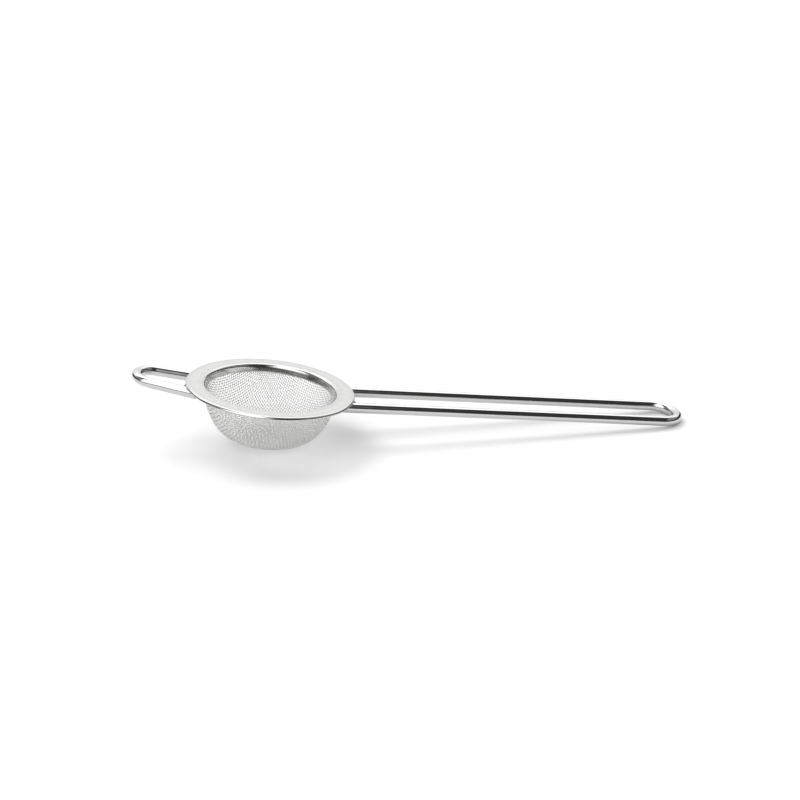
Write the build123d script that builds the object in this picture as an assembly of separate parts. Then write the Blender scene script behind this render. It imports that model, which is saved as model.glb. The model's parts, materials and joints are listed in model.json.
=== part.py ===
from build123d import *
import os
from math import atan2, asin, cos, degrees, hypot, radians, sin, tan

# Tea strainer: a pressed rim with a flat brim, a woven wire bowl pinched round the rim's collar
# by a band, a long handle bent from one wire and a short rest hook bent from another, both
# welded under the brim.
#
# The pieces are laid out in the rim's own frame: origin at the centre of the brim's top face,
# +X towards the handle, +Z up out of the bowl. They are then tipped together until the strainer
# rests on its bowl and on the end of its handle, as it does on a table. Millimetres throughout.

# ---- driving dimensions ----
# Rim
rim_diameter = 70.0
brim_thickness = 0.9
lip_depth = 1.2                  # the brim's outer edge is rolled down to this depth
lip_width = 1.0
lip_radius = 1.05                # rounding of the rolled lip, above
lip_foot_radius = 0.12           # and at its lower corners
rolled_edge_radius = 1.5         # where the brim turns down into the collar
collar_thickness = 0.6
collar_depth = 3.5               # from the brim's top face to the collar's lower edge
collar_mouth_radius = 26.5       # inside the collar, at its lower edge
collar_taper = 12.0              # degrees; the collar narrows downwards

# Woven bowl, drawn as the envelope of its cloth
cloth_thickness = 0.55           # two wires thick where they cross
cloth_edge_depth = 1.5           # the cloth's raw edge, below the brim's top face
bowl_depth = 23.1
bowl_roundness = 4.7             # flatness of the bottom; 2 would be round
bowl_side_slope = 1.19           # how soon the wall turns in; 1 turns in at once
bowl_profile_points = 13

# Band that pinches the cloth against the collar
band_thickness = 0.5
band_top = 1.45                  # depth of its upper edge
band_bottom = 3.1                # depth of its lower edge

# Handle and hook wires
wire_diameter = 4.3
wire_end_radius = 0.5
weld_reach = 34.0                # the wires touch the brim out to this distance from the centre
handle_inner_end = 28.8
handle_half_width = 9.2          # between the wire's centre line and the handle's middle
handle_reach = 176.4             # rim centre to the centre line at the handle's far end
handle_rise = 1.7                # degrees above the brim's plane
hook_inner_end = 29.0
hook_half_width = 9.2            # at the weld
hook_tip_radius = 7.7
hook_reach = 55.4
hook_rise = 4.6                  # degrees above the brim's plane
hook_turn = 8.6                  # degrees that the hook is set off the handle's line

# Weld beads, on the inner side of each leg where it passes under the lip
bead_radius = 1.4
bead_length = 1.6                # straight middle part
bead_distance = 32.7             # from the rim's centre, along the wire
bead_offset = 1.9                # from the wire's centre line, towards the loop's middle
bead_depth = 2.0                 # below the brim's top face

# ---- values worked out from them ----
rim_radius = rim_diameter / 2
wire_radius = wire_diameter / 2
taper = tan(radians(collar_taper))
across_taper = 1 / cos(radians(collar_taper))     # horizontal width of a layer 1 mm thick
wire_depth = lip_depth + wire_radius              # centre line of a wire that touches the lip
cloth_outer_offset = (collar_thickness + cloth_thickness) * across_taper
band_outer_offset = cloth_outer_offset + band_thickness * across_taper


def collar_radius(depth, offset=0.0):
    """Radius of the collar's cone at a depth; offset steps outwards through its layers."""
    return collar_mouth_radius + offset + (collar_depth - depth) * taper


def bowl_surface_depth(radius, mouth, depth):
    """Depth of a bowl surface at a radius, for a bowl with this mouth radius and depth."""
    fullness = max(0.0, 1 - (radius / mouth) ** bowl_roundness) ** (1 / bowl_side_slope)
    return collar_depth + (depth - collar_depth) * fullness


def revolved(outline):
    """Solid of revolution about Z from a closed outline in the XZ plane."""
    return revolve(make_face(outline), Axis.Z, 360)


def rim():
    """Brim with its rolled lip, rolled inner edge and collar, pressed from one sheet."""
    outer = collar_thickness * across_taper
    lip_inside = rim_radius - lip_width
    rounded_corners = [
        (collar_radius(0), 0, rolled_edge_radius),
        (rim_radius, 0, lip_radius),
        (rim_radius, -lip_depth, lip_foot_radius),
        (lip_inside, -lip_depth, lip_foot_radius),
        (collar_radius(brim_thickness, outer), -brim_thickness, rolled_edge_radius / 3),
    ]
    with BuildPart() as pressed:
        with BuildSketch(Plane.XZ) as section:
            with BuildLine():
                Polyline(
                    (collar_radius(0), 0),
                    (rim_radius, 0),
                    (rim_radius, -lip_depth),
                    (lip_inside, -lip_depth),
                    (lip_inside, -brim_thickness),
                    (collar_radius(brim_thickness, outer), -brim_thickness),
                    (collar_radius(collar_depth, outer), -collar_depth),
                    (collar_radius(collar_depth), -collar_depth),
                    close=True,
                )
            make_face()
            for x, y, radius in rounded_corners:
                fillet(section.vertices().sort_by_distance((x, y, 0))[0], radius)
        revolve(axis=Axis.Z)
    return pressed.part


def bowl_curve(mouth, depth):
    """Bowl profile from the collar's lower edge down to the axis."""
    places = []
    for step in range(bowl_profile_points):
        radius = mouth * sin(radians(90 * (1 - step / (bowl_profile_points - 1))))
        places.append((radius, 0, -bowl_surface_depth(radius, mouth, depth)))
    return Spline(*places, tangents=[(-taper, 0, -1), (-1, 0, 0)])


def mesh_bowl():
    """Closed shell with the outer shape of the pressed wire cloth, open at the top."""
    inner_offset = collar_thickness * across_taper
    outer_mouth = collar_radius(collar_depth, cloth_outer_offset)
    inner_mouth = collar_radius(collar_depth, inner_offset)
    outer_edge = (collar_radius(cloth_edge_depth, cloth_outer_offset), 0, -cloth_edge_depth)
    inner_edge = (collar_radius(cloth_edge_depth, inner_offset), 0, -cloth_edge_depth)
    outer = bowl_curve(outer_mouth, bowl_depth)
    inner = bowl_curve(inner_mouth, bowl_depth - cloth_thickness)
    outline = [
        Line(outer_edge, outer @ 0),
        outer,
        Line(outer @ 1, inner @ 1),
        inner,
        Line(inner @ 0, inner_edge),
        Line(inner_edge, outer_edge),
    ]
    return revolved(outline)


def clamp_band():
    """Plain band round the cloth's edge, under the brim."""
    places = [
        (collar_radius(band_top, cloth_outer_offset), 0, -band_top),
        (collar_radius(band_top, band_outer_offset), 0, -band_top),
        (collar_radius(band_bottom, band_outer_offset), 0, -band_bottom),
        (collar_radius(band_bottom, cloth_outer_offset), 0, -band_bottom),
    ]
    return revolved(Polyline(*places, close=True))


def leg_taper(half_width, reach, tip_radius):
    """Angle in degrees by which each leg of a loop leans in towards its tip."""
    along = reach - tip_radius - weld_reach
    span = hypot(along, half_width)
    return degrees(atan2(half_width, along) - asin(tip_radius / span))


def loop_wire(inner_end, half_width, reach, tip_radius):
    """A wire bent into a U along +X, lying flat at the depth where it touches the brim."""
    lean = radians(leg_taper(half_width, reach, tip_radius))
    centre = reach - tip_radius
    spread = half_width + (weld_reach - inner_end) * tan(lean)
    bend_x = centre + tip_radius * sin(lean)
    bend_y = tip_radius * cos(lean)
    path = Wire([
        Line((inner_end, spread, -wire_depth), (bend_x, bend_y, -wire_depth)),
        ThreePointArc(
            (bend_x, bend_y, -wire_depth), (reach, 0, -wire_depth), (bend_x, -bend_y, -wire_depth)
        ),
        Line((bend_x, -bend_y, -wire_depth), (inner_end, -spread, -wire_depth)),
    ])
    section = Plane(origin=path @ 0, z_dir=path % 0) * Circle(wire_radius)
    bent = sweep(section, path=path)
    ends = bent.edges().filter_by(GeomType.CIRCLE).filter_by(lambda edge: edge.radius < tip_radius)
    ends = [edge for edge in ends if edge.center().X < inner_end + wire_radius]
    return fillet(ends, wire_end_radius)


def rise_from_brim(shape, degrees_up):
    """Tip a loop up about the line where its legs leave the brim."""
    hinge = Axis((weld_reach, 0, -wire_depth), (0, 1, 0))
    return shape.rotate(hinge, -degrees_up)


def face_hook_way(shape):
    """Turn a loop from the handle's side of the rim to the hook's."""
    return shape.rotate(Axis.Z, 180 - hook_turn)


def handle():
    loop = loop_wire(handle_inner_end, handle_half_width, handle_reach, handle_half_width)
    return rise_from_brim(loop, handle_rise)


def hook():
    loop = loop_wire(hook_inner_end, hook_half_width, hook_reach, hook_tip_radius)
    return face_hook_way(rise_from_brim(loop, hook_rise))


def weld_beads(half_width, lean, face_way, pressed, wire):
    """Two beads that fill the corners between a loop's legs and the lip."""
    beads = []
    for side in (1, -1):
        spread = half_width + (weld_reach - bead_distance) * tan(radians(lean)) - bead_offset
        bead = Rot(0, 90, 0) * Cylinder(bead_radius, bead_length)
        for end in (1, -1):
            bead = bead + Pos(end * bead_length / 2, 0, 0) * Sphere(bead_radius)
        bead = Rot(0, 0, -side * lean) * bead
        bead = face_way(Pos(bead_distance, side * spread, -bead_depth) * bead)
        beads.append((bead - pressed - wire).solids().sort_by(SortBy.VOLUME)[-1])
    return Compound(beads)


def handle_welds(pressed, wire):
    return weld_beads(handle_half_width, 0, lambda shape: shape, pressed, wire)


def hook_welds(pressed, wire):
    lean = leg_taper(hook_half_width, hook_reach, hook_tip_radius)
    return weld_beads(hook_half_width, lean, face_hook_way, pressed, wire)


def resting_tilt():
    """Angle in degrees at which the bowl and the handle's end both touch the table."""
    mouth = collar_radius(collar_depth, cloth_outer_offset)
    rise = radians(handle_rise)
    end_x = weld_reach + (handle_reach - weld_reach) * cos(rise)
    end_z = (handle_reach - weld_reach) * sin(rise) - wire_depth
    low, high = 0.0, 30.0
    while high - low > 1e-6:
        middle = (low + high) / 2
        s, c = sin(radians(middle)), cos(radians(middle))
        radii = [mouth * step / 400 for step in range(400)]
        bowl_reach = max(bowl_surface_depth(r, mouth, bowl_depth) * c + r * s for r in radii)
        handle_end_reach = end_x * s - end_z * c + wire_radius
        if bowl_reach > handle_end_reach:
            low = middle
        else:
            high = middle
    return middle


def set_on_table(shapes):
    """Tip every piece to the resting tilt and put the origin under the middle of the strainer."""
    tilt = resting_tilt()
    tipped = {name: shape.rotate(Axis.Y, tilt) for name, shape in shapes.items()}
    box = Compound(list(tipped.values())).bounding_box()
    centre = box.center()
    shift = (-centre.X, -centre.Y, -box.min.Z)
    print("tilt", round(tilt, 3), "shift", [round(value, 3) for value in shift])
    return {name: shape.translate(shift) for name, shape in tipped.items()}


def build():
    pressed = rim()
    handle_wire = handle()
    hook_wire = hook()
    return set_on_table({
        "rim_flange": pressed,
        "clamp_band": clamp_band(),
        "mesh_bowl": mesh_bowl(),
        "handle_wire": handle_wire,
        "hook_wire": hook_wire,
        "handle_welds": handle_welds(pressed, handle_wire),
        "hook_welds": hook_welds(pressed, hook_wire),
    })


os.makedirs("parts", exist_ok=True)
for node, shape in build().items():
    export_step(shape, f"parts/{node}.step")
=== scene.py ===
import json
from math import atan2, ceil, cos, hypot, pi, radians, sin, sqrt, tan

import bpy
import numpy as np
from mathutils import Matrix, Vector


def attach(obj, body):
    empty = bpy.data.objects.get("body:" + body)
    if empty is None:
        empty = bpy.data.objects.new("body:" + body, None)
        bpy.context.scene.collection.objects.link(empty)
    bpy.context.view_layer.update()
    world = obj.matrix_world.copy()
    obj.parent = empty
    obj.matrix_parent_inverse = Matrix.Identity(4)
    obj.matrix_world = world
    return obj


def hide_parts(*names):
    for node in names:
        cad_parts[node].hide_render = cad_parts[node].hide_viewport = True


# Tea strainer: a pressed rim, a bowl of woven wires pinched round its collar by a band, a long
# wire handle and a short wire hook, both welded under the brim. The pieces are drawn in the
# rim's own frame, in millimetres: origin at the centre of the brim's top face, +X towards the
# handle, +Z up out of the bowl. place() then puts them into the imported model's frame, in metres.

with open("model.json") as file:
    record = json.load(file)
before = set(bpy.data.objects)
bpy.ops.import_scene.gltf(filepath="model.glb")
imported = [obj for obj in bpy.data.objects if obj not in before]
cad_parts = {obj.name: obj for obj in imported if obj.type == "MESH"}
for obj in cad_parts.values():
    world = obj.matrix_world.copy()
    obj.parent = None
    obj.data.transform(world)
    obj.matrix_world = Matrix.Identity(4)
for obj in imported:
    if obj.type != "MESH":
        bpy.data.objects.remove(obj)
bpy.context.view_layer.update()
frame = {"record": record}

# ---- dimensions of the CAD model, in millimetres ----
RIM_RADIUS = 35.0
BRIM_THICKNESS = 0.9
LIP_DEPTH = 1.2
LIP_WIDTH = 1.0
LIP_RADIUS = 1.05
LIP_FOOT_RADIUS = 0.12
ROLLED_EDGE_RADIUS = 1.5
COLLAR_THICKNESS = 0.6
COLLAR_DEPTH = 3.5
COLLAR_MOUTH_RADIUS = 26.5
COLLAR_TAPER = radians(12)
CLOTH_THICKNESS = 0.55
CLOTH_EDGE_DEPTH = 1.6           # the wires stop just short of the CAD cloth's edge
BOWL_DEPTH = 23.1
BOWL_ROUNDNESS = 4.7
BOWL_SIDE_SLOPE = 1.19
BAND_THICKNESS = 0.5
BAND_TOP = 1.45
BAND_BOTTOM = 3.1
WIRE_RADIUS = 2.15
WIRE_END_RADIUS = 0.5
WELD_REACH = 34.0
HANDLE = {"inner_end": 28.8, "half_width": 9.2, "reach": 176.4, "tip_radius": 9.2, "rise": 1.7}
HOOK = {"inner_end": 29.0, "half_width": 9.2, "reach": 55.4, "tip_radius": 7.7, "rise": 4.6}
HOOK_TURN = 8.6
BEAD_RADIUS = 1.4
BEAD_LENGTH = 1.6
BEAD_DISTANCE = 32.7
BEAD_OFFSET = 1.9
BEAD_DEPTH = 2.0

# ---- the woven cloth ----
PITCH = 1.05                     # between neighbouring wires
CLOTH_WIRE_RADIUS = 0.1375
CLOTH_TURN = 45.0                # degrees between the wires and the handle's line
CLOTH_SIDES = 6
STEPS_PER_PITCH = 3
LONGEST_WIRE = 80                # pitches out from the bowl's lowest point, to beyond the edge
CONE_ABOVE = 5.0                 # how far the cloth's surface goes on above the collar's mouth
DRIFT = 0.018                    # how far a wire slides along the bowl from its even place
SEED = 12

# ---- detail beyond the CAD model ----
BAND_EDGE = 0.14                 # roundings of edges that are sharp there
COLLAR_EDGE = 0.12
LIP_INSIDE_EDGE = 0.05
BEAD_RIPPLE = 0.03               # part of the bead's size
BEAD_RIPPLE_RATE = 9             # radians per millimetre along the bead
EDGE_POLISH = 1.0
COLLAR_POLISH = 0.8
POLISH_FADE = 6                  # higher keeps the polish closer to the rounded edges

# ---- how finely things are drawn ----
RIM_STEPS = 360
BAND_STEPS = 288
STRAIGHT_STEPS = 8               # in each straight of the rim's and the band's outline
WIRE_SIDES = 64
WIRE_END_STEPS = 6
BEND_STEPS = 96
LEG_STEP = 2.0
BEAD_RINGS = 40
BEAD_SIDES = 28

MM = 0.001
slope = tan(COLLAR_TAPER)
across = 1 / cos(COLLAR_TAPER)
wire_depth = LIP_DEPTH + WIRE_RADIUS
cloth_offset = (COLLAR_THICKNESS + CLOTH_THICKNESS / 2) * across
cloth_outer_offset = (COLLAR_THICKNESS + CLOTH_THICKNESS) * across
cloth_mouth = COLLAR_MOUTH_RADIUS + cloth_offset
cloth_depth = BOWL_DEPTH - CLOTH_THICKNESS / 2


# ---------------------------------------------------------------- where the rim is
def rim_frame():
    """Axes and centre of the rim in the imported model's frame, from the mount on the brim's top."""
    top = next(m for m in frame["record"]["mounts"] if m["name"] == "brim_top")
    up = np.array(top["axis"])
    up /= np.linalg.norm(up)
    axes = np.array(((up[2], 0, -up[0]), (0, 1, 0), up))
    centre = np.array(top["pos_m"])
    centre[1] = 0
    return axes, centre


rim_axes, rim_centre = rim_frame()


def place(points):
    """Points in the rim's frame, in millimetres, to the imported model's frame, in metres."""
    return np.asarray(points, float) * MM @ rim_axes + rim_centre


# ---------------------------------------------------------------- mesh helpers
def new_mesh(name, points, faces):
    """Smooth-shaded object in the scene from points in the rim's frame."""
    mesh = bpy.data.meshes.new(name)
    mesh.from_pydata(place(points).tolist(), [], faces)
    mesh.polygons.foreach_set("use_smooth", [True] * len(mesh.polygons))
    mesh.update()
    piece = bpy.data.objects.new(name, mesh)
    bpy.context.scene.collection.objects.link(piece)
    return piece


def set_uv(piece, coordinates):
    """One UV pair per vertex, in millimetres of real surface."""
    layer = piece.data.uv_layers.new(name="surface")
    corners = np.empty(len(piece.data.loops), int)
    piece.data.loops.foreach_get("vertex_index", corners)
    layer.data.foreach_set("uv", np.asarray(coordinates, float)[corners].ravel())


def set_value(piece, name, values):
    """One number per vertex, for the piece's material."""
    attribute = piece.data.attributes.new(name, "FLOAT", "POINT")
    attribute.data.foreach_set("value", np.asarray(values, np.float32))


def lathe(name, outline, steps):
    """Closed ring turned about Z from a closed outline of (radius, height) points."""
    outline = np.array(outline)
    count = len(outline)
    turns = np.arange(steps) * 2 * pi / steps
    points = [(r * cos(t), r * sin(t), z) for t in turns for r, z in outline]
    faces = []
    for turn in range(steps):
        here, there = turn * count, (turn + 1) % steps * count
        for step in range(count):
            after = (step + 1) % count
            faces.append((here + step, there + step, there + after, here + after))
    return new_mesh(name, points, faces)


def lengths_along(points):
    """Length of a path from its start to each of its points."""
    steps = np.linalg.norm(np.diff(points, axis=0), axis=1)
    return np.concatenate(([0], np.cumsum(steps)))


def line(start, end, steps):
    """Points strictly between two places, so that arcs keep their own ends."""
    return [tuple(np.array(start) + (np.array(end) - start) * k / steps) for k in range(1, steps)]


# ---------------------------------------------------------------- the pressed rim
def collar_radius(depth, offset=0.0):
    """Radius of the collar's cone at a depth; offset steps outwards through its layers."""
    return COLLAR_MOUTH_RADIUS + offset + (COLLAR_DEPTH - depth) * slope


def fillet_arc(corner, before, after, radius, steps):
    """Arc that rounds a corner of an outline."""
    corner, before, after = (np.array(p, float) for p in (corner, before, after))
    to_before = (before - corner) / np.linalg.norm(before - corner)
    to_after = (after - corner) / np.linalg.norm(after - corner)
    half = np.arccos(np.clip(to_before @ to_after, -1, 1)) / 2
    reach = radius / tan(half)
    middle = (to_before + to_after) / np.linalg.norm(to_before + to_after)
    centre = corner + middle * radius / sin(half)
    first = corner + to_before * reach - centre
    last = corner + to_after * reach - centre
    start = atan2(first[1], first[0])
    turn = (atan2(last[1], last[0]) - start + pi) % (2 * pi) - pi
    angles = start + turn * np.linspace(0, 1, steps + 1)
    return [(centre[0] + radius * cos(a), centre[1] + radius * sin(a)) for a in angles]


def rounded_outline(corners):
    """Closed outline from (radius, height, rounding, polish) corners, and each point's polish.

    Polish fades out between corners, so that a long straight is satin in its middle.
    """
    outline, polish = [], []
    count = len(corners)
    for k, (x, z, rounding, shine) in enumerate(corners):
        before, after = corners[k - 1][:2], corners[(k + 1) % count][:2]
        rounded = fillet_arc((x, z), before, after, rounding, max(4, ceil(rounding * 10)))
        if outline:
            straight = line(outline[-1], rounded[0], STRAIGHT_STEPS)
            outline += straight
            along = np.linspace(0, 1, len(straight))
            faded = polish[-1] * (1 - along) ** POLISH_FADE + shine * along ** POLISH_FADE
            polish += list(faded)
        outline += rounded
        polish += [shine] * len(rounded)
    closing = line(outline[-1], outline[0], STRAIGHT_STEPS // 2)
    return outline + closing, polish + [polish[-1]] * len(closing)


def rim_flange():
    """Brim, rolled lip and collar, with polish on the edges and inside the collar."""
    under = COLLAR_THICKNESS * across
    lip_inside = RIM_RADIUS - LIP_WIDTH
    corners = [
        (collar_radius(0), 0, ROLLED_EDGE_RADIUS, EDGE_POLISH),
        (RIM_RADIUS, 0, LIP_RADIUS, EDGE_POLISH),
        (RIM_RADIUS, -LIP_DEPTH, LIP_FOOT_RADIUS, EDGE_POLISH),
        (lip_inside, -LIP_DEPTH, LIP_FOOT_RADIUS, EDGE_POLISH),
        (lip_inside, -BRIM_THICKNESS, LIP_INSIDE_EDGE, 0),
        (collar_radius(BRIM_THICKNESS, under), -BRIM_THICKNESS, ROLLED_EDGE_RADIUS / 3, 0),
        (collar_radius(COLLAR_DEPTH, under), -COLLAR_DEPTH, COLLAR_EDGE, COLLAR_POLISH),
        (collar_radius(COLLAR_DEPTH), -COLLAR_DEPTH, COLLAR_EDGE, COLLAR_POLISH),
    ]
    outline, polish = rounded_outline(corners)
    rim = lathe("rim_flange_finished", outline, RIM_STEPS)
    lengths = lengths_along(outline)
    turns = np.arange(RIM_STEPS) * 2 * pi / RIM_STEPS * RIM_RADIUS
    set_uv(rim, [(turn, length) for turn in turns for length in lengths])
    set_value(rim, "polish", polish * RIM_STEPS)
    return rim


def clamp_band():
    """Plain band round the cloth's edge, with its edges rounded."""
    inside = cloth_outer_offset
    outside = cloth_outer_offset + BAND_THICKNESS * across
    places = ((BAND_TOP, inside), (BAND_TOP, outside), (BAND_BOTTOM, outside), (BAND_BOTTOM, inside))
    corners = [(collar_radius(depth, offset), -depth, BAND_EDGE, 0) for depth, offset in places]
    outline = rounded_outline(corners)[0]
    return lathe("clamp_band_finished", outline, BAND_STEPS)


# ---------------------------------------------------------------- tubes along a path
def tube_rings(path, sides, sideways):
    """At each point of a path, the unit vector ahead and a ring of unit vectors across.

    The ring's first vector points towards sideways.
    """
    ahead = np.gradient(path, axis=0)
    ahead /= np.linalg.norm(ahead, axis=1)[:, None]
    out = sideways - (sideways * ahead).sum(1)[:, None] * ahead
    out /= np.linalg.norm(out, axis=1)[:, None]
    across_path = np.cross(ahead, out)
    angles = np.arange(sides)[None, :, None] * 2 * pi / sides
    return ahead, np.cos(angles) * out[:, None] + np.sin(angles) * across_path[:, None]


def tube_faces(rings, sides, first):
    """Quads along a tube and one flat face on each end, for vertices that start at first."""
    faces = []
    for ring in range(rings - 1):
        a = first + ring * sides
        for k in range(sides):
            b = (k + 1) % sides
            faces.append((a + k, a + b, a + sides + b, a + sides + k))
    faces.append(tuple(first + k for k in reversed(range(sides))))
    faces.append(tuple(first + (rings - 1) * sides + k for k in range(sides)))
    return faces


def rod(name, path, radius, end_radius, sides):
    """A round wire with rounded ends along a path, with UVs of (around, along) in millimetres."""
    path = np.array(path, float)
    sideways = np.tile((0.0, 0.0, 1.0), (len(path), 1))
    ahead, rings = tube_rings(path, sides, sideways)
    turns = np.linspace(pi / 2, 0, WIRE_END_STEPS + 1)
    points, uv = [], []
    lengths = lengths_along(path)
    whole = lengths[-1]
    around = np.arange(sides) / sides * 2 * pi * radius

    def add_ring(centre, ring, size, along):
        points.extend(centre + ring * size)
        uv.extend((a, along) for a in around)

    for a in turns[:-1]:
        inset = end_radius * (1 - sin(a))
        size = radius - end_radius * (1 - cos(a))
        add_ring(path[0] + ahead[0] * inset, rings[0], size, inset)
    for k, length in enumerate(lengths):
        if end_radius <= length <= whole - end_radius:
            add_ring(path[k], rings[k], radius, length)
    for a in turns[::-1][1:]:
        inset = end_radius * (1 - sin(a))
        size = radius - end_radius * (1 - cos(a))
        add_ring(path[-1] - ahead[-1] * inset, rings[-1], size, whole - inset)
    piece = new_mesh(name, points, tube_faces(len(points) // sides, sides, 0))
    set_uv(piece, uv)
    return piece


def leg_lean(half_width, reach, tip_radius, **others):
    """Angle by which each leg of a loop leans in towards its tip."""
    along = reach - tip_radius - WELD_REACH
    return atan2(half_width, along) - np.arcsin(tip_radius / hypot(along, half_width))


def loop_path(inner_end, half_width, reach, tip_radius, rise):
    """Centre line of a wire bent into a U along +X that rises from the brim's plane."""
    lean = leg_lean(half_width, reach, tip_radius)
    spread = half_width + (WELD_REACH - inner_end) * tan(lean)
    centre = reach - tip_radius
    bend = np.linspace(pi / 2 - lean, lean - pi / 2, BEND_STEPS + 1)
    start = (inner_end, spread)
    tip = [(centre + tip_radius * cos(a), tip_radius * sin(a)) for a in bend]
    steps = ceil((tip[0][0] - inner_end) / LEG_STEP)
    leg = [start] + line(start, tip[0], steps)
    mirrored = [(x, -y) for x, y in reversed(leg)]
    flat = np.array([(x, y, -wire_depth) for x, y in leg + tip + mirrored])
    hinge = np.array((WELD_REACH, 0, -wire_depth))
    angle = radians(rise)
    away = flat - hinge
    lifted = np.column_stack((
        away[:, 0] * cos(angle) - away[:, 2] * sin(angle),
        away[:, 1],
        away[:, 0] * sin(angle) + away[:, 2] * cos(angle),
    ))
    return lifted + hinge


def turned(points, degrees):
    """Points turned about Z."""
    a = radians(degrees)
    points = np.asarray(points, float)
    return points @ np.array(((cos(a), sin(a), 0), (-sin(a), cos(a), 0), (0, 0, 1)))


def handle_wire():
    """The long loop."""
    path = loop_path(**HANDLE)
    return rod("handle_wire_polished", path, WIRE_RADIUS, WIRE_END_RADIUS, WIRE_SIDES)


def hook_wire():
    """The short tapered loop, a little off the handle's line."""
    path = turned(loop_path(**HOOK), 180 - HOOK_TURN)
    return rod("hook_wire_polished", path, WIRE_RADIUS, WIRE_END_RADIUS, WIRE_SIDES)


# ---------------------------------------------------------------- the woven bowl
def bowl_value(p):
    """Zero on the middle surface of the cloth, positive outside it."""
    radius, depth = hypot(p[0], p[1]), -p[2]
    if depth <= COLLAR_DEPTH:
        return (radius - cloth_mouth - (COLLAR_DEPTH - depth) * slope) / cloth_mouth
    down = (depth - COLLAR_DEPTH) / (cloth_depth - COLLAR_DEPTH)
    return (radius / cloth_mouth) ** BOWL_ROUNDNESS + down ** BOWL_SIDE_SLOPE - 1


def bowl_gradient(p):
    """Which way bowl_value grows: outwards from the cloth."""
    tiny = 1e-4
    here = bowl_value(p)
    return np.array([(bowl_value(p + step) - here) / tiny for step in np.eye(3) * tiny])


def meridian(count):
    """Points one pitch apart from the bowl's lowest point out along +X."""
    angles = np.linspace(0, pi / 2, 4000)
    radii = cloth_mouth * np.sin(angles) ** (2 / BOWL_ROUNDNESS)
    depths = COLLAR_DEPTH + (cloth_depth - COLLAR_DEPTH) * np.cos(angles) ** (2 / BOWL_SIDE_SLOPE)
    radii = np.append(radii, cloth_mouth + CONE_ABOVE * slope)
    depths = np.append(depths, COLLAR_DEPTH - CONE_ABOVE)
    lengths = lengths_along(np.column_stack((radii, depths)))
    at = np.arange(count) * PITCH
    return np.interp(at, lengths, radii), np.interp(at, lengths, depths)


def fourth_corner(a, b, c):
    """The point of the bowl that is one pitch from a and from b, across from c."""
    p = a + b - c
    for _ in range(30):
        rows = np.array((2 * (p - a), 2 * (p - b), bowl_gradient(p)))
        gaps = np.array((
            (p - a) @ (p - a) - PITCH ** 2,
            (p - b) @ (p - b) - PITCH ** 2,
            bowl_value(p),
        ))
        step = np.linalg.solve(rows, gaps)
        p = p - step
        if abs(step).max() < 1e-6:
            break
    return p


def draped_quarter():
    """Crossings rows[j][i] of a square net draped over the bowl, up to the cloth's edge."""
    radii, depths = meridian(LONGEST_WIRE)
    spine = [np.array((r, 0, -d)) for r, d in zip(radii, depths)]
    inside = [k for k, d in enumerate(depths) if d >= CLOTH_EDGE_DEPTH]
    last = inside[-1] + 1
    rows = [spine[:last + 1]]
    for j in range(1, last):
        row = [np.array((0, radii[j], -depths[j]))]
        for i in range(1, len(rows[-1])):
            row.append(fourth_corner(row[i - 1], rows[-1][i], rows[-1][i - 1]))
            if -row[-1][2] < CLOTH_EDGE_DEPTH:
                break
        rows.append(row)
    return rows


def waved(nodes, first_sign):
    """A wire's centre line through its crossings, over and under by its radius, and normals."""
    nodes = np.array(nodes)
    normals = np.array([bowl_gradient(p) for p in nodes])
    normals /= np.linalg.norm(normals, axis=1)[:, None]
    padded = np.vstack((2 * nodes[0] - nodes[1], nodes, 2 * nodes[-1] - nodes[-2]))
    centre, out = [], []
    for k in range(len(nodes) - 1):
        p0, p1, p2, p3 = padded[k:k + 4]
        for part in range(STEPS_PER_PITCH):
            t = part / STEPS_PER_PITCH
            point = 0.5 * (
                2 * p1 + (p2 - p0) * t + (2 * p0 - 5 * p1 + 4 * p2 - p3) * t ** 2
                + (3 * p1 - p0 - 3 * p2 + p3) * t ** 3
            )
            normal = normals[k] * (1 - t) + normals[k + 1] * t
            normal /= np.linalg.norm(normal)
            wave = first_sign * (-1) ** k * cos(pi * t) * CLOTH_WIRE_RADIUS
            centre.append(point + normal * wave)
            out.append(normal)
    keep = [k for k, p in enumerate(centre) if -p[2] >= CLOTH_EDGE_DEPTH]
    return np.array(centre)[keep], np.array(out)[keep]


def whole_row(row, side):
    """A quarter's row with its mirror image, on the +Y or -Y side, and where its middle is."""
    right = [np.array((p[0], side * p[1], p[2])) for p in row]
    left = [np.array((-p[0], p[1], p[2])) for p in right[:0:-1]]
    return left + right, len(left)


def cloth_wires(rows, sign, turn, drift):
    """All the wires of one set, as (centre line, normals)."""
    wires = []
    for j, row in enumerate(rows):
        if len(row) < 3:
            continue
        for side in ((1, -1) if j else (1,)):
            nodes, middle = whole_row(row, side)
            shift = drift.normal(0, DRIFT, 3)
            centre, out = waved(nodes, sign * (-1) ** (j + middle))
            if len(centre) < 4:
                continue
            centre = centre + shift - (out * shift).sum(1)[:, None] * out
            wires.append((turned(centre, turn), turned(out, turn)))
    return wires


def woven_set(name, wires):
    """One mesh of thin round wires."""
    points, faces = [], []
    for centre, out in wires:
        rings = tube_rings(centre, CLOTH_SIDES, out)[1]
        faces += tube_faces(len(centre), CLOTH_SIDES, len(points))
        points.extend((centre[:, None] + rings * CLOTH_WIRE_RADIUS).reshape(-1, 3))
    return new_mesh(name, points, faces)


def woven_bowl():
    """Warp and weft of the cloth, square to each other at the bowl's lowest point."""
    rows = draped_quarter()
    drift = np.random.default_rng(SEED)
    warp = woven_set("mesh_bowl_warp", cloth_wires(rows, 1, CLOTH_TURN, drift))
    weft = woven_set("mesh_bowl_weft", cloth_wires(rows, -1, CLOTH_TURN + 90, drift))
    return warp, weft


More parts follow.
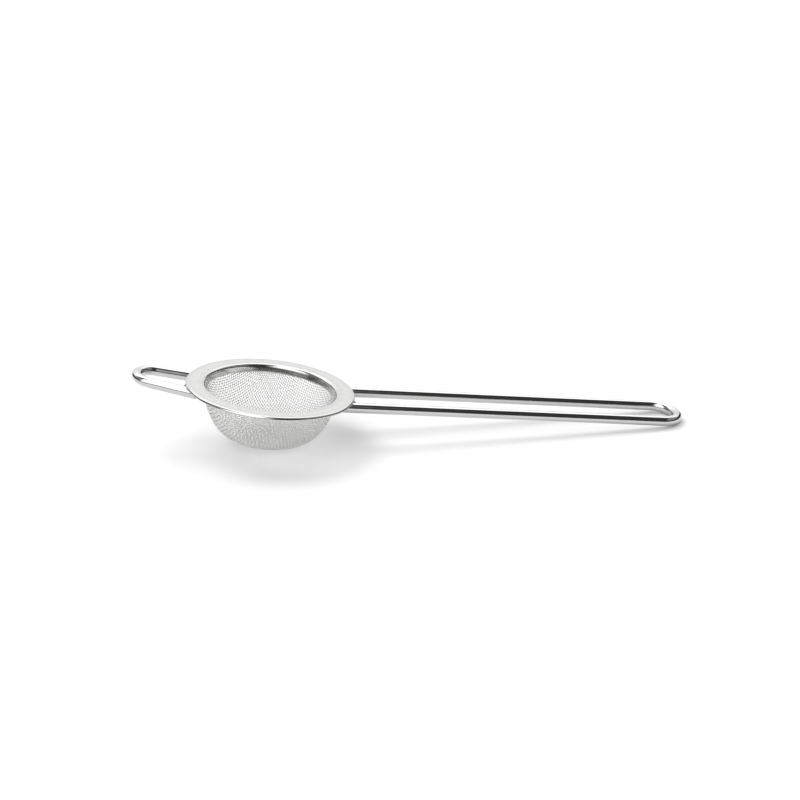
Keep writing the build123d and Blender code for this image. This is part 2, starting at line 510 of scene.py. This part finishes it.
# ---------------------------------------------------------------- weld beads
def weld_bead(centre, lean):
    """One rippled bead, lying along a leg that leans by some degrees."""
    reach = BEAD_RADIUS + BEAD_LENGTH / 2
    points = []
    for k in range(BEAD_RINGS + 1):
        along = -reach * cos(pi * k / BEAD_RINGS)
        beyond = max(0.0, abs(along) - BEAD_LENGTH / 2)
        ripple = 1 - BEAD_RIPPLE * (1 + sin(along * BEAD_RIPPLE_RATE))
        size = sqrt(max(1e-4, BEAD_RADIUS ** 2 - beyond ** 2)) * ripple
        for side in range(BEAD_SIDES):
            a = 2 * pi * side / BEAD_SIDES
            points.append((along, cos(a) * size, sin(a) * size))
    return turned(points, lean) + centre, tube_faces(BEAD_RINGS + 1, BEAD_SIDES, 0)


def weld_beads(name, loop, turn):
    """Beads on the inner side of both legs, where they pass under the lip."""
    lean = leg_lean(**loop)
    points, faces = [], []
    for side in (1, -1):
        spread = loop["half_width"] + (WELD_REACH - BEAD_DISTANCE) * tan(lean) - BEAD_OFFSET
        centre = np.array((BEAD_DISTANCE, side * spread, -BEAD_DEPTH))
        bead, bead_faces = weld_bead(centre, -side * np.degrees(lean))
        faces += [tuple(v + len(points) for v in face) for face in bead_faces]
        points.extend(turned(bead, turn))
    return new_mesh(name, points, faces)


# ---------------------------------------------------------------- materials
def material(name, metallic=1.0):
    """A new material, with its node tree and its shader."""
    made = bpy.data.materials.new(name)
    made.use_nodes = True
    tree = made.node_tree
    shader = tree.nodes["Principled BSDF"]
    shader.inputs["Metallic"].default_value = metallic
    return made, tree, shader


def node(tree, kind, inputs=None, **settings):
    """A new node; inputs that are sockets are linked, and other inputs are set."""
    made = tree.nodes.new(kind)
    for key, value in settings.items():
        setattr(made, key, value)
    for key, value in (inputs or {}).items():
        if isinstance(value, bpy.types.NodeSocket):
            tree.links.new(value, made.inputs[key])
        else:
            made.inputs[key].default_value = value
    return made


def maths(tree, operation, first, second=0.0):
    return node(tree, "ShaderNodeMath", {0: first, 1: second}, operation=operation).outputs["Value"]


def step_up(tree, value, low, high):
    """0 below low, 1 above high, smooth between."""
    return node(tree, "ShaderNodeMapRange", {
        "Value": value, "From Min": low, "From Max": high,
    }, interpolation_type="SMOOTHSTEP").outputs["Result"]


def mixed(tree, factor, first, second):
    return node(tree, "ShaderNodeMix", {
        "Factor": factor, "A": first, "B": second,
    }, data_type="FLOAT").outputs["Result"]


def uv_stretched(tree, across_scale, along_scale):
    """A piece's UVs, scaled so that noise on them runs in streaks."""
    coordinates = node(tree, "ShaderNodeUVMap", uv_map="surface")
    return node(tree, "ShaderNodeMapping", {
        "Vector": coordinates.outputs["UV"],
        "Scale": (across_scale, along_scale, 1),
    }).outputs["Vector"]


def object_place(tree):
    return node(tree, "ShaderNodeTexCoord").outputs["Object"]


def noise(tree, vector, scale, detail):
    return node(tree, "ShaderNodeTexNoise", {
        "Vector": vector, "Scale": scale, "Detail": detail,
    }).outputs["Fac"]


def ranged(tree, value, low, high, from_low=0.3, from_high=0.7):
    """From low to high as a value goes over its range, by default that of most noise."""
    return node(tree, "ShaderNodeMapRange", {
        "Value": value, "From Min": from_low, "From Max": from_high, "To Min": low, "To Max": high,
    }).outputs["Result"]


def grey_between(tree, value, low, high):
    mix = node(tree, "ShaderNodeMix", data_type="RGBA")
    tree.links.new(value, mix.inputs["Factor"])
    mix.inputs["A"].default_value = (*low, 1)
    mix.inputs["B"].default_value = (*high, 1)
    return mix.outputs["Result"]


def bumped(tree, height, distance, strength, below=None):
    made = node(tree, "ShaderNodeBump", {
        "Height": height, "Distance": distance, "Strength": strength,
    })
    if below is not None:
        tree.links.new(below, made.inputs["Normal"])
    return made.outputs["Normal"]


def rim_steel():
    """Satin brim with fine turned grain; its rounded edges and its collar are polished."""
    made, tree, shader = material("rim_steel")
    polish = node(tree, "ShaderNodeAttribute", attribute_name="polish").outputs["Fac"]
    matt = maths(tree, "SUBTRACT", 1.0, polish)
    turned_grain = noise(tree, uv_stretched(tree, 0.4, 26.0), 1.0, 3.0)
    cloudy = noise(tree, object_place(tree), 260.0, 3.0)
    speckle = noise(tree, object_place(tree), 2600.0, 2.0)
    satin = maths(tree, "ADD", ranged(tree, turned_grain, -0.05, 0.05),
                  ranged(tree, cloudy, 0.26, 0.33))
    roughness = mixed(tree, polish, satin, ranged(tree, cloudy, 0.07, 0.11))
    tree.links.new(roughness, shader.inputs["Roughness"])
    tree.links.new(ranged(tree, polish, 0.82, 1.0), shader.inputs["Metallic"])
    tree.links.new(grey_between(tree, cloudy, (0.55, 0.55, 0.547), (0.61, 0.61, 0.605)),
                   shader.inputs["Base Color"])
    grain = bumped(tree, turned_grain, 0.00001, 0.2)
    fine = maths(tree, "MULTIPLY", speckle, matt)
    tree.links.new(bumped(tree, fine, 0.00001, 0.3, grain), shader.inputs["Normal"])
    return made


def band_steel():
    """Dull steel, cloudy and slightly uneven."""
    made, tree, shader = material("band_steel")
    cloudy = noise(tree, object_place(tree), 500.0, 3.0)
    tree.links.new(ranged(tree, cloudy, 0.28, 0.42), shader.inputs["Roughness"])
    tree.links.new(grey_between(tree, cloudy, (0.46, 0.46, 0.455), (0.55, 0.55, 0.545)),
                   shader.inputs["Base Color"])
    tree.links.new(bumped(tree, cloudy, 0.00002, 0.3), shader.inputs["Normal"])
    return made


def polished_wire_steel():
    """Bright polished wire: faint drawing lines along it and a slow waviness."""
    made, tree, shader = material("polished_wire_steel")
    drawn = noise(tree, uv_stretched(tree, 7.0, 0.05), 1.0, 3.0)
    smudge = noise(tree, object_place(tree), 190.0, 3.0)
    wavy = noise(tree, uv_stretched(tree, 0.12, 0.09), 1.0, 1.0)
    tree.links.new(ranged(tree, smudge, 0.05, 0.11), shader.inputs["Roughness"])
    tree.links.new(grey_between(tree, drawn, (0.54, 0.54, 0.537), (0.61, 0.61, 0.607)),
                   shader.inputs["Base Color"])
    slow = bumped(tree, wavy, 0.0004, 0.35)
    tree.links.new(bumped(tree, drawn, 0.00001, 0.2, slow), shader.inputs["Normal"])
    return made


def cloth_wire_steel():
    """Bright thin wire, cloudier in places."""
    made, tree, shader = material("cloth_wire_steel")
    cloudy = noise(tree, object_place(tree), 900.0, 2.0)
    tree.links.new(ranged(tree, cloudy, 0.13, 0.24), shader.inputs["Roughness"])
    tree.links.new(grey_between(tree, cloudy, (0.69, 0.69, 0.685), (0.8, 0.8, 0.795)),
                   shader.inputs["Base Color"])
    return made


def weld_steel_painted_shade():
    """Rougher weld metal; its dark colour is partly the weld's own tone and partly painted shade for
    the shadow under the brim's lip.
    """
    made, tree, shader = material("weld_steel_painted_shade")
    cloudy = noise(tree, object_place(tree), 700.0, 4.0)
    tree.links.new(ranged(tree, cloudy, 0.22, 0.5), shader.inputs["Roughness"])
    # Painted shade: these dark greys stand for the shadow under the lip where the beads sit, as well
    # as the weld's own tone.
    tree.links.new(grey_between(tree, cloudy, (0.2, 0.19, 0.18), (0.36, 0.35, 0.34)),
                   shader.inputs["Base Color"])
    tree.links.new(bumped(tree, cloudy, 0.00015, 0.6), shader.inputs["Normal"])
    return made


def floor_paper():
    """Matt white paper with a faint fibre."""
    made, tree, shader = material("floor_paper", metallic=0.0)
    shader.inputs["Roughness"].default_value = 1.0
    shader.inputs["Specular IOR Level"].default_value = 0.0
    fibre = noise(tree, object_place(tree), 900.0, 3.0)
    tree.links.new(grey_between(tree, fibre, (0.91, 0.91, 0.91), (0.93, 0.93, 0.93)),
                   shader.inputs["Base Color"])
    return made


# ---------------------------------------------------------------- camera, floor and light
CAMERA_AZIMUTH = radians(8.04)
CAMERA_ELEVATION = radians(21.2)
CAMERA_DISTANCE = 0.5866
CAMERA_SIDE = 0.0533
CAMERA_DROP = 0.00557
CAMERA_LENS = 63.9
FLOOR_HALF_SIZE = 6.0
KEY_FROM = (-0.4, 0.46, 0.79)
KEY_SPREAD = radians(32)
KEY_STRENGTH = 0.9


def add_camera():
    """Camera in front of the strainer, a little to the left and above."""
    a, e = CAMERA_AZIMUTH, CAMERA_ELEVATION
    ahead = Vector((sin(a) * cos(e), cos(a) * cos(e), -sin(e)))
    right = Vector((cos(a), -sin(a), 0))
    up = right.cross(ahead)
    data = bpy.data.cameras.new("camera")
    data.lens = CAMERA_LENS
    data.sensor_width = 36
    data.clip_start = 0.01
    data.clip_end = 50
    camera = bpy.data.objects.new("camera", data)
    target = Vector(rim_centre) + right * CAMERA_SIDE - up * CAMERA_DROP
    camera.location = target - ahead * CAMERA_DISTANCE
    camera.rotation_euler = Matrix((right, up, -ahead)).transposed().to_euler()
    bpy.context.scene.collection.objects.link(camera)
    bpy.context.scene.camera = camera


def add_floor():
    mesh = bpy.data.meshes.new("floor")
    corners = [(x * FLOOR_HALF_SIZE, y * FLOOR_HALF_SIZE, 0)
               for x, y in ((-1, -1), (1, -1), (1, 1), (-1, 1))]
    mesh.from_pydata(corners, [], [(0, 1, 2, 3)])
    floor = bpy.data.objects.new("floor", mesh)
    mesh.materials.append(floor_paper())
    bpy.context.scene.collection.objects.link(floor)


def key_light():
    """Large soft light high above, behind and to the left, that the steel does not mirror."""
    data = bpy.data.lights.new("key", "SUN")
    data.angle = KEY_SPREAD
    data.energy = KEY_STRENGTH
    light = bpy.data.objects.new("key", data)
    light.visible_glossy = False
    light.rotation_euler = Vector(KEY_FROM).to_track_quat("Z", "Y").to_euler()
    bpy.context.scene.collection.objects.link(light)


# The studio's surroundings: brightness, and where each wall begins and is fully lit. Heights and
# sides are parts of 1, as in a unit vector; bearings are from the front, to the right.
BACK_LOW = 1.05
BACK_HIGH = 2.1
BACK_HEIGHTS = (0.25, 0.9)
BACK_EDGE = (-0.08, 0.06)
BACK_NARROW_LOW = 1.5            # how far the white backdrop stays behind, near the floor
BACK_NARROW_HIGH = 0.5           # and higher up
BACK_NARROW_HEIGHTS = (0.1, 0.5)
FRONT_LEFT = 1.9
PANEL_LEAN = 0.5                 # how far the panel's right edge leans to the right, upwards
PANEL_LEAN_HEIGHT = 0.25
PANEL_LEFT_EDGE = (radians(-76), radians(-62))
PANEL_RIGHT_EDGE = (radians(-27), radians(9))
PANEL_FOOT = (sin(radians(9)), sin(radians(14)))
SIDE_WALLS = 0.36
SIDE_EDGE = (0.52, 0.72)
SIDE_FOOT = (sin(radians(17)), sin(radians(26)))
DARK = 0.055
BACKDROP_SEEN = 1.2
DIFFUSE_SHARE = 0.42             # how much of all this lights the paper, with an even fill
DIFFUSE_FILL = 0.53


def studio():
    """White behind and overhead, a tall panel at the front left, dim side walls, a dark front."""
    world = bpy.data.worlds.new("studio")
    world.use_nodes = True
    bpy.context.scene.world = world
    tree = world.node_tree
    background = tree.nodes["Background"]

    towards = node(tree, "ShaderNodeTexCoord").outputs["Generated"]
    split = node(tree, "ShaderNodeSeparateXYZ", {"Vector": towards})
    sideways, ahead, high = (split.outputs[axis] for axis in "XYZ")
    to_side = maths(tree, "ABSOLUTE", sideways)
    bearing = maths(tree, "ARCTAN2", sideways, maths(tree, "MULTIPLY", ahead, -1.0))

    narrowing = step_up(tree, high, *BACK_NARROW_HEIGHTS)
    narrow = mixed(tree, narrowing, BACK_NARROW_LOW, BACK_NARROW_HIGH)
    behind = maths(tree, "SUBTRACT", ahead, maths(tree, "MULTIPLY", to_side, narrow))
    behind = step_up(tree, behind, *BACK_EDGE)
    glow = ranged(tree, high, BACK_LOW, BACK_HIGH, *BACK_HEIGHTS)

    above = maths(tree, "SUBTRACT", high, PANEL_LEAN_HEIGHT)
    lean = maths(tree, "MULTIPLY", above, PANEL_LEAN)
    past_right = step_up(tree, maths(tree, "SUBTRACT", bearing, lean), *PANEL_RIGHT_EDGE)
    width = maths(tree, "MULTIPLY", maths(tree, "SUBTRACT", 1.0, past_right),
                  step_up(tree, bearing, *PANEL_LEFT_EDGE))
    panel = maths(tree, "MULTIPLY", width, step_up(tree, high, *PANEL_FOOT))

    sides = maths(tree, "MULTIPLY", step_up(tree, to_side, *SIDE_EDGE),
                  step_up(tree, high, *SIDE_FOOT))
    room = mixed(tree, panel, mixed(tree, sides, DARK, SIDE_WALLS), FRONT_LEFT)
    lit = mixed(tree, behind, room, glow)

    ray = node(tree, "ShaderNodeLightPath")
    softened = maths(tree, "ADD", maths(tree, "MULTIPLY", lit, DIFFUSE_SHARE), DIFFUSE_FILL)
    lit = mixed(tree, ray.outputs["Is Diffuse Ray"], lit, softened)
    strength = mixed(tree, ray.outputs["Is Camera Ray"], lit, BACKDROP_SEEN)
    tree.links.new(strength, background.inputs["Strength"])
    background.inputs["Color"].default_value = (1, 1, 1, 1)


def add_studio():
    add_camera()
    add_floor()
    studio()
    key_light()
    bpy.context.scene.view_settings.view_transform = "Standard"


# ---------------------------------------------------------------- assembly
def finish_piece(piece, finish, slot, *nodes):
    """Give a piece its material, and put it in place of its CAD nodes; its slot is not used."""
    piece.data.materials.append(finish)
    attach(piece, "root")
    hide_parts(*nodes)


add_studio()
finish_piece(rim_flange(), rim_steel(), "pressed_rim", "rim_flange")
finish_piece(clamp_band(), band_steel(), "band", "clamp_band")
wire_steel = polished_wire_steel()
finish_piece(handle_wire(), wire_steel, "polished_wire", "handle_wire")
finish_piece(hook_wire(), wire_steel, "polished_wire", "hook_wire")
weld = weld_steel_painted_shade()
finish_piece(weld_beads("handle_weld_beads", HANDLE, 0), weld, "weld_metal", "handle_welds")
finish_piece(weld_beads("hook_weld_beads", HOOK, 180 - HOOK_TURN), weld, "weld_metal", "hook_welds")
cloth_steel = cloth_wire_steel()
for cloth in woven_bowl():
    finish_piece(cloth, cloth_steel, "wire_cloth", "mesh_bowl")
